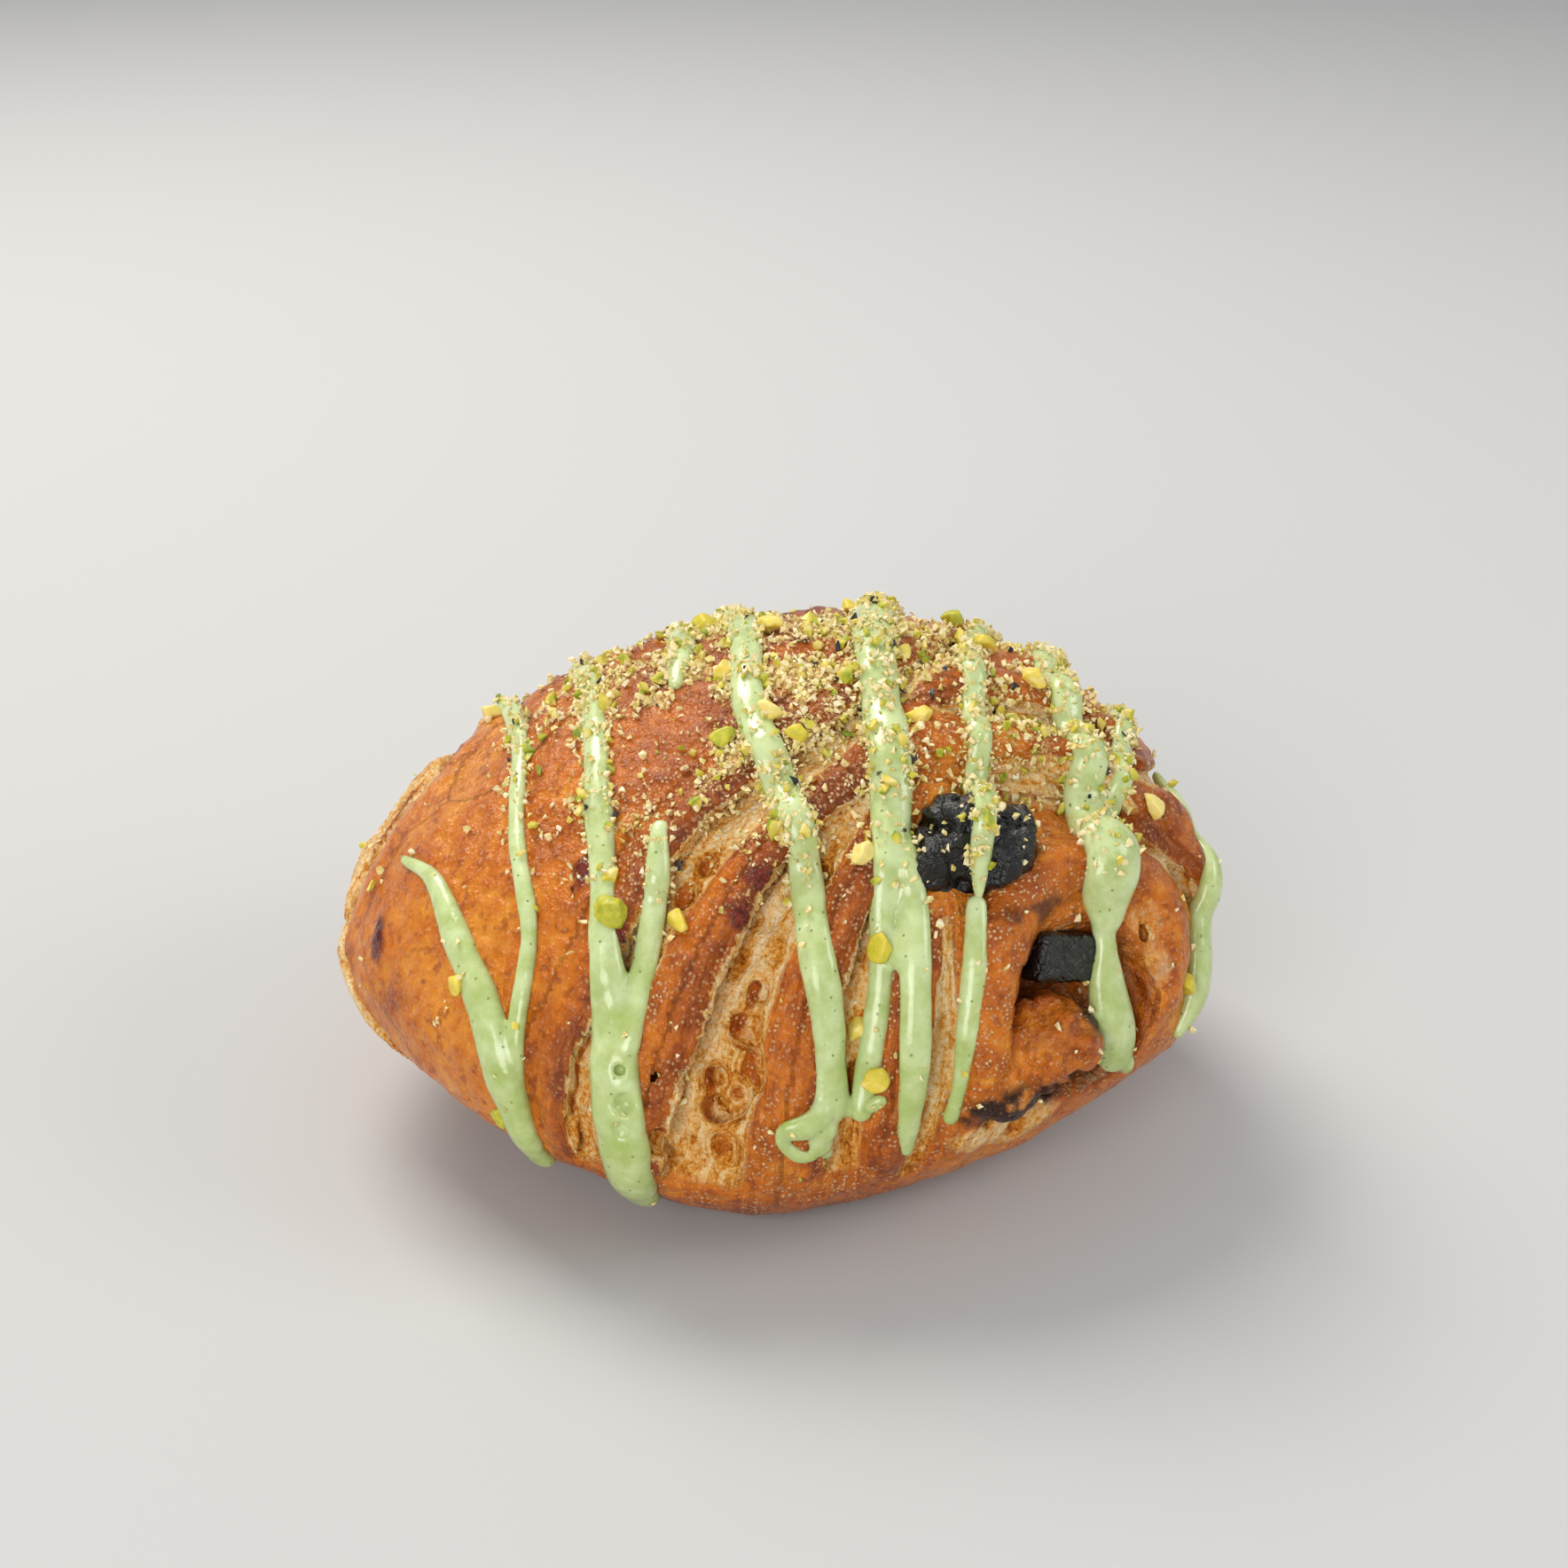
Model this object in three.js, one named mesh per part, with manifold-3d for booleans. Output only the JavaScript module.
// Pain au chocolat with a pistachio finish: one baked roll of laminated dough, scored across its
// crown, with two chocolate batons inside, glaze poured over it in strands, and chopped nibs.
// X runs along the roll, Y across it and Z up; the roll stands on its flat base at z = 0.
import * as THREE from "three";
import { mergeVertices } from "three/addons/utils/BufferGeometryUtils.js";
import Module from "manifold-3d";

const wasm = await Module();
wasm.setup();

// Driving dimensions in millimetres.
const HALF_LENGTH = 51.5;
const HALF_WIDTH = 39;
const WAIST_HEIGHT = 21; // where the roll is widest
const CROWN_RISE = 36; // crown above the waist
const BELLY_DEPTH = 24; // how far the underside would reach if no tray had flattened it
const CROWN_LEAN = 4; // the crown leans back by this much
const LOWER_LENGTH = 66;
const UPPER_LENGTH = 60;
const BATON_WIDTH = 10;
const BATON_THICKNESS = 5.5;
const BATON_TWIST = THREE.MathUtils.degToRad(20); // the batons turned this far as the dough was rolled
const FIT_GAP = 0.35; // clearance between pieces that touch
const GLAZE_RIM = 0.25; // thickness of a strand at its edges
const DOUGH_DETAIL = 15; // subdivisions of each face of the icosahedron that the dough starts from

const COLOUR = { crust: 0xc47832, chocolate: 0x1c1614, glaze: 0xaac878, pistachio: 0xc9c25a };
const HEART = new THREE.Vector3(0, 0, 24); // every point of the crust is in sight of this one

const point = (x, y, z) => new THREE.Vector3(x, y, z);
const clamp01 = (value) => THREE.MathUtils.clamp(value, 0, 1);
const bell = (value) => Math.exp(-value * value);

// ---- solids -------------------------------------------------------------------------------

function toSolid(geometry) {
  const bare = geometry.clone();
  bare.deleteAttribute("normal");
  bare.deleteAttribute("uv");
  const merged = mergeVertices(bare, 1e-4);
  const vertProperties = new Float32Array(merged.attributes.position.array);
  const triVerts = new Uint32Array(merged.index.array);
  return new wasm.Manifold(new wasm.Mesh({ numProp: 3, vertProperties, triVerts }));
}

function toGeometry(solid) {
  const mesh = solid.getMesh();
  const geometry = new THREE.BufferGeometry();
  geometry.setAttribute("position", new THREE.BufferAttribute(new Float32Array(mesh.vertProperties), 3));
  geometry.setIndex(new THREE.BufferAttribute(new Uint32Array(mesh.triVerts), 1));
  return geometry;
}

function largestPart(solid) {
  return solid.decompose().sort((a, b) => b.volume() - a.volume())[0];
}

// ---- the roll of dough --------------------------------------------------------------------

// Below zero inside the plain loaf, above zero outside it.
function loafValue(p) {
  const along = p.x / HALF_LENGTH;
  const rise = p.z - WAIST_HEIGHT;
  const y = p.y - CROWN_LEAN * clamp01(rise / 33);
  const frontBulge = y < 0 ? 3 * bell((p.x + 14) / 18) * clamp01(1 - rise / 25) : 0;
  const radius = Math.hypot(along, y / (HALF_WIDTH + frontBulge));
  if (rise > 0) {
    const height = CROWN_RISE * (1 + 0.13 * along - 0.02 * along * along);
    const power = 1.95 + 0.35 * Math.min(along, 0);
    return (radius ** power + (rise / height) ** power) ** (1 / power) - 1;
  }
  const depth = BELLY_DEPTH * (1 - 0.55 * clamp01(Math.abs(along + 0.02)) ** 2);
  return (radius ** 2.6 + (-rise / depth) ** 2.6) ** (1 / 2.6) - 1;
}

// The point of the loaf's skin that lies in the direction of p, raised by lift.
function onLoaf(p, lift) {
  const direction = p.clone().sub(HEART).normalize();
  let inner = 0;
  let outer = 90;
  for (let step = 0; step < 26; step++) {
    const middle = (inner + outer) / 2;
    if (loafValue(direction.clone().multiplyScalar(middle).add(HEART)) < 0) {
      inner = middle;
    } else {
      outer = middle;
    }
  }
  return direction.multiplyScalar(inner + lift).add(HEART);
}

function distanceToPath(p, path) {
  const segment = new THREE.Line3();
  const nearest = new THREE.Vector3();
  let least = Infinity;
  for (let i = 1; i < path.length; i++) {
    segment.set(path[i - 1], path[i]).closestPointToPoint(p, true, nearest);
    least = Math.min(least, nearest.distanceTo(p));
  }
  return least;
}

// A smooth line over the skin of the loaf, close to the given stops.
function skinLine(...stops) {
  const curve = new THREE.CatmullRomCurve3(stops.map(([x, y, z]) => point(x, y, z)), false, "centripetal");
  return curve.getPoints(stops.length * 3).map((p) => onLoaf(p, 0));
}

// Cuts that the baker scored across the crown: each opens a valley that runs down both flanks.
const SLASHES = [
  skinLine([-19, -36, 10], [-20, -36, 26], [-9, -26, 43], [3, -17, 51], [14, -6, 56], [22, 8, 54],
    [27, 24, 42], [27, 34, 26], [24, 35, 10]),
  skinLine([-8, -40, 12], [-5, -37, 30], [2, -29, 42], [9, -22, 49], [20, -13, 53], [34, -2, 50],
    [41, 14, 38], [39, 24, 22]),
  skinLine([7, -39, 12], [7, -37, 30], [12, -29, 41], [16, -24, 46]),
  skinLine([-37, -26, 14], [-40, -14, 34], [-30, 6, 47], [-16, 20, 50], [-8, 33, 36], [-10, 38, 16]),
  skinLine([-46, 2, 32], [-40, 16, 34], [-30, 29, 30], [-27, 35, 14]),
];
const SLASH_DEPTH = 3.2;
const SLASH_REACH = 3; // half the width of a valley

// Ridges: the edges of dough layers that rose over the cuts.
const RIDGES = [
  skinLine([14, -16, 53], [24, -12, 52], [36, -8, 47], [44, -10, 38], [48, -14, 27]),
  skinLine([20, -36, 20], [23, -32, 31], [28, -25, 39], [35, -19, 41], [43, -17, 34], [46, -16, 25],
    [41, -23, 18], [28, -33, 15], [20, -36, 20]),
  skinLine([-49, -12, 20], [-47, -6, 30], [-42, -2, 37], [-33, 4, 45]),
];
const RIDGE_HEIGHT = 1.8;
const RIDGE_REACH = 3;

// The rolled end that faces front and right: a hollow inside the last ridge, with the core of the
// roll standing in it below the lower baton.
const ROLL_END = point(34, -26, 29);
const ROLL_END_RADIUS = 8.5;
const ROLL_END_DEPTH = 5;
const ROLL_CORE = point(32, -28, 25.5);

function relief(p) {
  let height = 0;
  for (const path of SLASHES) {
    height -= SLASH_DEPTH * bell(distanceToPath(p, path) / SLASH_REACH);
  }
  for (const path of RIDGES) {
    height += RIDGE_HEIGHT * bell(distanceToPath(p, path) / RIDGE_REACH);
  }
  height -= ROLL_END_DEPTH * bell((p.distanceTo(ROLL_END) / ROLL_END_RADIUS) ** 2);
  height += 3.2 * bell(p.distanceTo(ROLL_CORE) / 4.5);
  return height;
}

function doughSolid(growth) {
  const sphere = new THREE.IcosahedronGeometry(1, DOUGH_DETAIL);
  sphere.deleteAttribute("normal");
  sphere.deleteAttribute("uv");
  const geometry = mergeVertices(sphere, 1e-5);
  const vertices = geometry.attributes.position;
  for (let i = 0; i < vertices.count; i++) {
    const seed = new THREE.Vector3().fromBufferAttribute(vertices, i).add(HEART);
    const skin = onLoaf(seed, 0);
    const raised = onLoaf(seed, relief(skin) + growth);
    vertices.setXYZ(i, raised.x, raised.y, raised.z);
  }
  return toSolid(geometry);
}

function trayCut(height) {
  const slab = new THREE.BoxGeometry(160, 160, 60).translate(0, 0, height - 30);
  return toSolid(slab);
}

// ---- chocolate ----------------------------------------------------------------------------

function batonSolid(mouth, length, growth) {
  const halfWidth = BATON_WIDTH / 2 + growth;
  const halfThickness = BATON_THICKNESS / 2 + growth;
  const corner = 1.2;
  const section = new THREE.Shape();
  section.moveTo(-halfWidth + corner, -halfThickness);
  section.lineTo(halfWidth - corner, -halfThickness);
  section.lineTo(halfWidth, -halfThickness + corner);
  section.lineTo(halfWidth, halfThickness - corner);
  section.lineTo(halfWidth - corner, halfThickness);
  section.lineTo(-halfWidth + corner, halfThickness);
  section.lineTo(-halfWidth, halfThickness - corner);
  section.lineTo(-halfWidth, -halfThickness + corner);
  section.closePath();
  const depth = length + 2 * growth;
  const geometry = new THREE.ExtrudeGeometry(section, { depth, bevelEnabled: false });
  geometry.translate(0, 0, -growth);
  // Extrusion runs along local Z; local Y stays as near to upright as the direction allows.
  const along = BATON_DIRECTION.clone().normalize();
  const side = new THREE.Vector3(0, 0, 1).cross(along).normalize().applyAxisAngle(along, BATON_TWIST);
  const upright = along.clone().cross(side);
  geometry.applyMatrix4(new THREE.Matrix4().makeBasis(side, upright, along).setPosition(mouth));
  return toSolid(geometry);
}

// The upper baton melted, swelled and set again where it reaches the opening.
function lumpSolid(centre, growth) {
  const ball = new THREE.IcosahedronGeometry(1, 3);
  const vertices = ball.attributes.position;
  for (let i = 0; i < vertices.count; i++) {
    const d = new THREE.Vector3().fromBufferAttribute(vertices, i);
    const swell = 1 + 0.07 * Math.sin(5 * d.x + 2) * Math.sin(4 * d.z + 1) + 0.05 * Math.sin(7 * d.y);
    d.set(d.x * 6.6, d.y * 5.2, d.z * 5.4).multiplyScalar(swell);
    d.addScaledVector(d.clone().normalize(), growth).add(centre);
    vertices.setXYZ(i, d.x, d.y, d.z);
  }
  return toSolid(ball);
}

// Both batons lie along the roll, from its open end down into the loaf.
const LOWER_MOUTH = point(32.5, -26.5, 32.2);
const UPPER_MOUTH = point(21, -21, 43.5);
const BATON_DIRECTION = point(-0.62, 0.74, -0.27);
const MOUTH_REACH = 12; // the lower tunnel opens this far past the end of its baton

function lowerBaton(growth) {
  return batonSolid(LOWER_MOUTH, LOWER_LENGTH, growth);
}

function upperBaton(growth) {
  const bar = batonSolid(UPPER_MOUTH, UPPER_LENGTH, growth);
  return bar.add(lumpSolid(UPPER_MOUTH, growth));
}

const lowerOpening = LOWER_MOUTH.clone().addScaledVector(BATON_DIRECTION, -MOUTH_REACH);
const dough = doughSolid(0)
  .subtract(trayCut(0))
  .subtract(batonSolid(lowerOpening, LOWER_LENGTH, FIT_GAP))
  .subtract(lowerBaton(FIT_GAP))
  .subtract(upperBaton(FIT_GAP));
const doughGrown = doughSolid(FIT_GAP);

// ---- glaze strands ------------------------------------------------------------------------

// A strand is a ribbon laid along a route over the loaf; each stop is x, y, z, width. It is
// domed across its width, thinner at its ends, and bridges the valleys that it crosses.
function strandSolid(stops, thickness, growth) {
  const route = new THREE.CatmullRomCurve3(stops.map(([x, y, z]) => point(x, y, z)), false, "centripetal");
  const rings = Math.max(7, Math.round(route.getLength() / 5));
  const across = [-1, -0.6, 0, 0.6, 1];
  const positions = [];
  const indices = [];
  for (let ring = 0; ring <= rings; ring++) {
    const u = ring / rings;
    const middle = route.getPoint(u);
    const tangent = route.getTangent(u);
    const outward = middle.clone().sub(HEART).normalize();
    const sideways = tangent.clone().cross(outward).normalize();
    const stop = u * (stops.length - 1);
    const before = Math.min(Math.floor(stop), stops.length - 2);
    const width = THREE.MathUtils.lerp(stops[before][3], stops[before + 1][3], stop - before);
    const taper = Math.sqrt(clamp01(Math.min(u, 1 - u) * rings * 0.8 + 0.15));
    for (const side of across) {
      const foot = middle.clone().addScaledVector(sideways, side * (width * taper / 2 + growth));
      const dome = GLAZE_RIM + growth + thickness * taper * Math.sqrt(1 - side * side * 0.96);
      positions.push(...onLoaf(foot, FIT_GAP + dome).toArray());
    }
    for (const side of [...across].reverse()) {
      const foot = middle.clone().addScaledVector(sideways, side * (width * taper / 2 + growth));
      positions.push(...onLoaf(foot, -2.5).toArray());
    }
  }
  const sides = across.length * 2;
  for (let ring = 0; ring < rings; ring++) {
    for (let side = 0; side < sides; side++) {
      const a = ring * sides + side;
      const b = ring * sides + (side + 1) % sides;
      indices.push(a, b, b + sides, a, b + sides, a + sides);
    }
  }
  for (let side = 1; side < sides - 1; side++) {
    indices.push(0, side + 1, side);
    const last = rings * sides;
    indices.push(last, last + side, last + side + 1);
  }
  const geometry = new THREE.BufferGeometry();
  geometry.setAttribute("position", new THREE.Float32BufferAttribute(positions, 3));
  geometry.setIndex(indices);
  return toSolid(geometry);
}

const STRANDS = {
  glaze_left_fork: {
    thickness: 1.3,
    routes: [
      [[-43, -7, 34, 1.3], [-38, -15, 35, 2.6], [-34, -24, 31, 4], [-30, -32, 25, 4.6], [-28, -35, 16, 4.4],
        [-27, -34, 10, 3.4]],
      [[-35, 30, 24, 2.4], [-34, 22, 36, 2.2], [-31, 6, 45, 1.8], [-29, -9, 45, 2], [-28, -22, 38, 2],
        [-27, -31, 28, 2], [-28, -35, 18, 3]],
    ],
  },
  glaze_left_double: {
    thickness: 1.6,
    routes: [
      [[-26, 34, 22, 3], [-25, 26, 40, 2.6], [-22, 8, 50, 2.4], [-20, -8, 50, 3], [-19, -22, 43, 3.4],
        [-18, -32, 34, 4], [-17, -38, 26, 6], [-16, -40, 14, 5.4], [-16, -38, 6, 4.6]],
      [[-13, -23, 45, 2.4], [-13, -29, 39, 2.8], [-14, -34, 33, 3], [-16, -39, 25, 3.4]],
    ],
  },
  glaze_crown_patch: {
    thickness: 0.9,
    routes: [[[-12, 16, 53, 2.6], [-11, 6, 55, 3.6], [-11, -4, 54, 2.6]]],
  },
  glaze_centre: {
    thickness: 1.6,
    routes: [
      [[-8, 40, 20, 4], [-7, 33, 38, 4], [-5, 18, 54, 3.8], [-3, 0, 57, 4], [-2, -13, 53, 3.6],
        [2, -23, 47, 4], [4, -33, 37, 4], [5, -39, 28, 3.8], [5, -41, 20, 3.4]],
      [[-1, -41, 22, 2.4], [3, -41, 18, 3.4], [9, -40, 21, 2.2], [13, -38, 24, 1.4]],
    ],
  },
  glaze_centre_fork: {
    thickness: 1.7,
    routes: [
      [[13, 36, 24, 3.4], [12, 30, 40, 4.4], [11, 12, 55, 5], [11, -4, 56, 5], [12, -17, 51, 5],
        [12, -25, 45, 4.4], [11, -32, 37, 2.8], [10, -38, 28, 3], [9, -40, 20, 2.2]],
      [[12, -24, 46, 3], [14, -30, 39, 3.2], [14, -36, 30, 3.2], [14, -39, 20, 2.8], [14, -39, 15, 2]],
    ],
  },
  glaze_over_chocolate: {
    thickness: 1.3,
    routes: [[[25, 28, 38, 2.2], [23, 16, 51, 2.6], [22, 2, 55, 2.4], [22, -10, 53, 2.4], [22, -18, 48, 2.6],
      [21, -25, 42, 1.4]]],
  },
  glaze_below_chocolate: {
    thickness: 1.1,
    routes: [[[21, -28, 39, 2], [20, -32, 33, 2.4], [20, -36, 26, 2], [19, -37, 19, 1.2]]],
  },
  glaze_right: {
    thickness: 1.7,
    routes: [
      [[35, 31, 24, 3], [34, 24, 38, 3.2], [32, 12, 50, 3.4], [33, -3, 50, 3.6], [35, -13, 45, 5],
        [37, -19, 38, 4.6], [37, -23, 33, 2.6], [37, -26, 28, 4.6], [38, -28, 21, 5], [38, -28, 16, 3]],
      [[41, 16, 38, 2], [40, 6, 45, 2.4], [39, -4, 45, 2.6], [37, -15, 42, 3]],
    ],
  },
  glaze_right_edge: {
    thickness: 1.6,
    routes: [[[46, 8, 36, 1.8], [48, -4, 33, 2.2], [48, -12, 28, 4], [48, -15, 22, 4], [46, -18, 18, 2.4]]],
  },
};

function strandSolids({ thickness, routes }, growth) {
  let solid = strandSolid(routes[0], thickness, growth);
  for (const route of routes.slice(1)) {
    solid = solid.add(strandSolid(route, thickness, growth));
  }
  return solid;
}

// ---- pistachio nibs -----------------------------------------------------------------------

// Each nib is x, y, z of the skin below it, then its size across.
const NIBS = [
  [-10, -30, 39, 3.2], [-17, -28, 39, 3.8], [9, -26, 44, 3.2], [11, -32, 37, 2.6], [9, -37, 29, 2.6],
  [10, -38, 25, 2.4], [-6, -13, 52, 2.8], [-1, -12, 54, 2.4], [2, -14, 53, 2.4], [15, -11, 53, 2.8],
  [-34, -26, 29, 2.2], [-30, -33, 16, 2.6], [-34, 14, 42, 2.8], [-9, 17, 54, 3.2], [-1, 7, 57, 3],
  [23, 5, 55, 3], [21, 16, 53, 2.8], [40, -10, 42, 2.8], [45, -19, 25, 2.4], [-6, -3, 55, 2.6],
  [9, 19, 54, 2.8], [-20, 22, 46, 2.6], [4, 31, 45, 3], [30, 24, 42, 2.6], [28, -2, 53, 2.6],
  [-15, 33, 38, 2.4],
];

// The outermost point of the pieces made so far, on the line from the heart of the loaf through p.
function outermostPoint(p) {
  const outward = p.clone().sub(HEART).normalize();
  const start = HEART.clone().addScaledVector(outward, 100);
  return new THREE.Raycaster(start, outward.clone().negate()).intersectObjects(group.children)[0].point;
}

function nibSolid([x, y, z, size], index) {
  const chip = new THREE.DodecahedronGeometry(size / 2, 0);
  const vertices = chip.attributes.position;
  for (let i = 0; i < vertices.count; i++) {
    const d = new THREE.Vector3().fromBufferAttribute(vertices, i);
    d.multiplyScalar(1 + 0.16 * Math.sin(3.1 * d.x + index) * Math.cos(2.7 * d.y + 2 * index));
    vertices.setXYZ(i, d.x, d.y * 0.82, d.z * 0.62);
  }
  const seat = outermostPoint(point(x, y, z));
  const outward = seat.clone().sub(HEART).normalize();
  chip.rotateZ(index * 2.4);
  chip.applyQuaternion(new THREE.Quaternion().setFromUnitVectors(point(0, 0, 1), outward));
  seat.addScaledVector(outward, size * 0.31 + FIT_GAP);
  chip.translate(seat.x, seat.y, seat.z);
  return toSolid(chip);
}

// ---- the assembled pastry -----------------------------------------------------------------

const group = new THREE.Group();

function addNode(name, solid, colour, roughness) {
  const material = new THREE.MeshStandardMaterial({ color: colour, roughness, metalness: 0 });
  const mesh = new THREE.Mesh(toGeometry(solid), material);
  mesh.name = name;
  group.add(mesh);
}

addNode("pastry", largestPart(dough), COLOUR.crust, 0.42);
addNode("chocolate_baton_lower", lowerBaton(0), COLOUR.chocolate, 0.35);
addNode("chocolate_baton_upper", upperBaton(0), COLOUR.chocolate, 0.35);

let obstacle = doughGrown.add(lowerBaton(FIT_GAP)).add(upperBaton(FIT_GAP));
for (const [name, strand] of Object.entries(STRANDS)) {
  addNode(name, largestPart(strandSolids(strand, 0).subtract(obstacle)), COLOUR.glaze, 0.28);
  obstacle = obstacle.add(strandSolids(strand, FIT_GAP));
}
group.updateMatrixWorld(true);
NIBS.forEach((nib, index) => {
  const number = String(index + 1).padStart(2, "0");
  const chip = largestPart(nibSolid(nib, index + 1).subtract(obstacle));
  addNode("pistachio_nib_" + number, chip, COLOUR.pistachio, 0.6);
});

// The origin is the middle of the underside of the whole pastry's box.
const box = new THREE.Box3().setFromObject(group);
const middle = box.getCenter(new THREE.Vector3());
group.position.set(-middle.x, -middle.y, -box.min.z);

export default group;
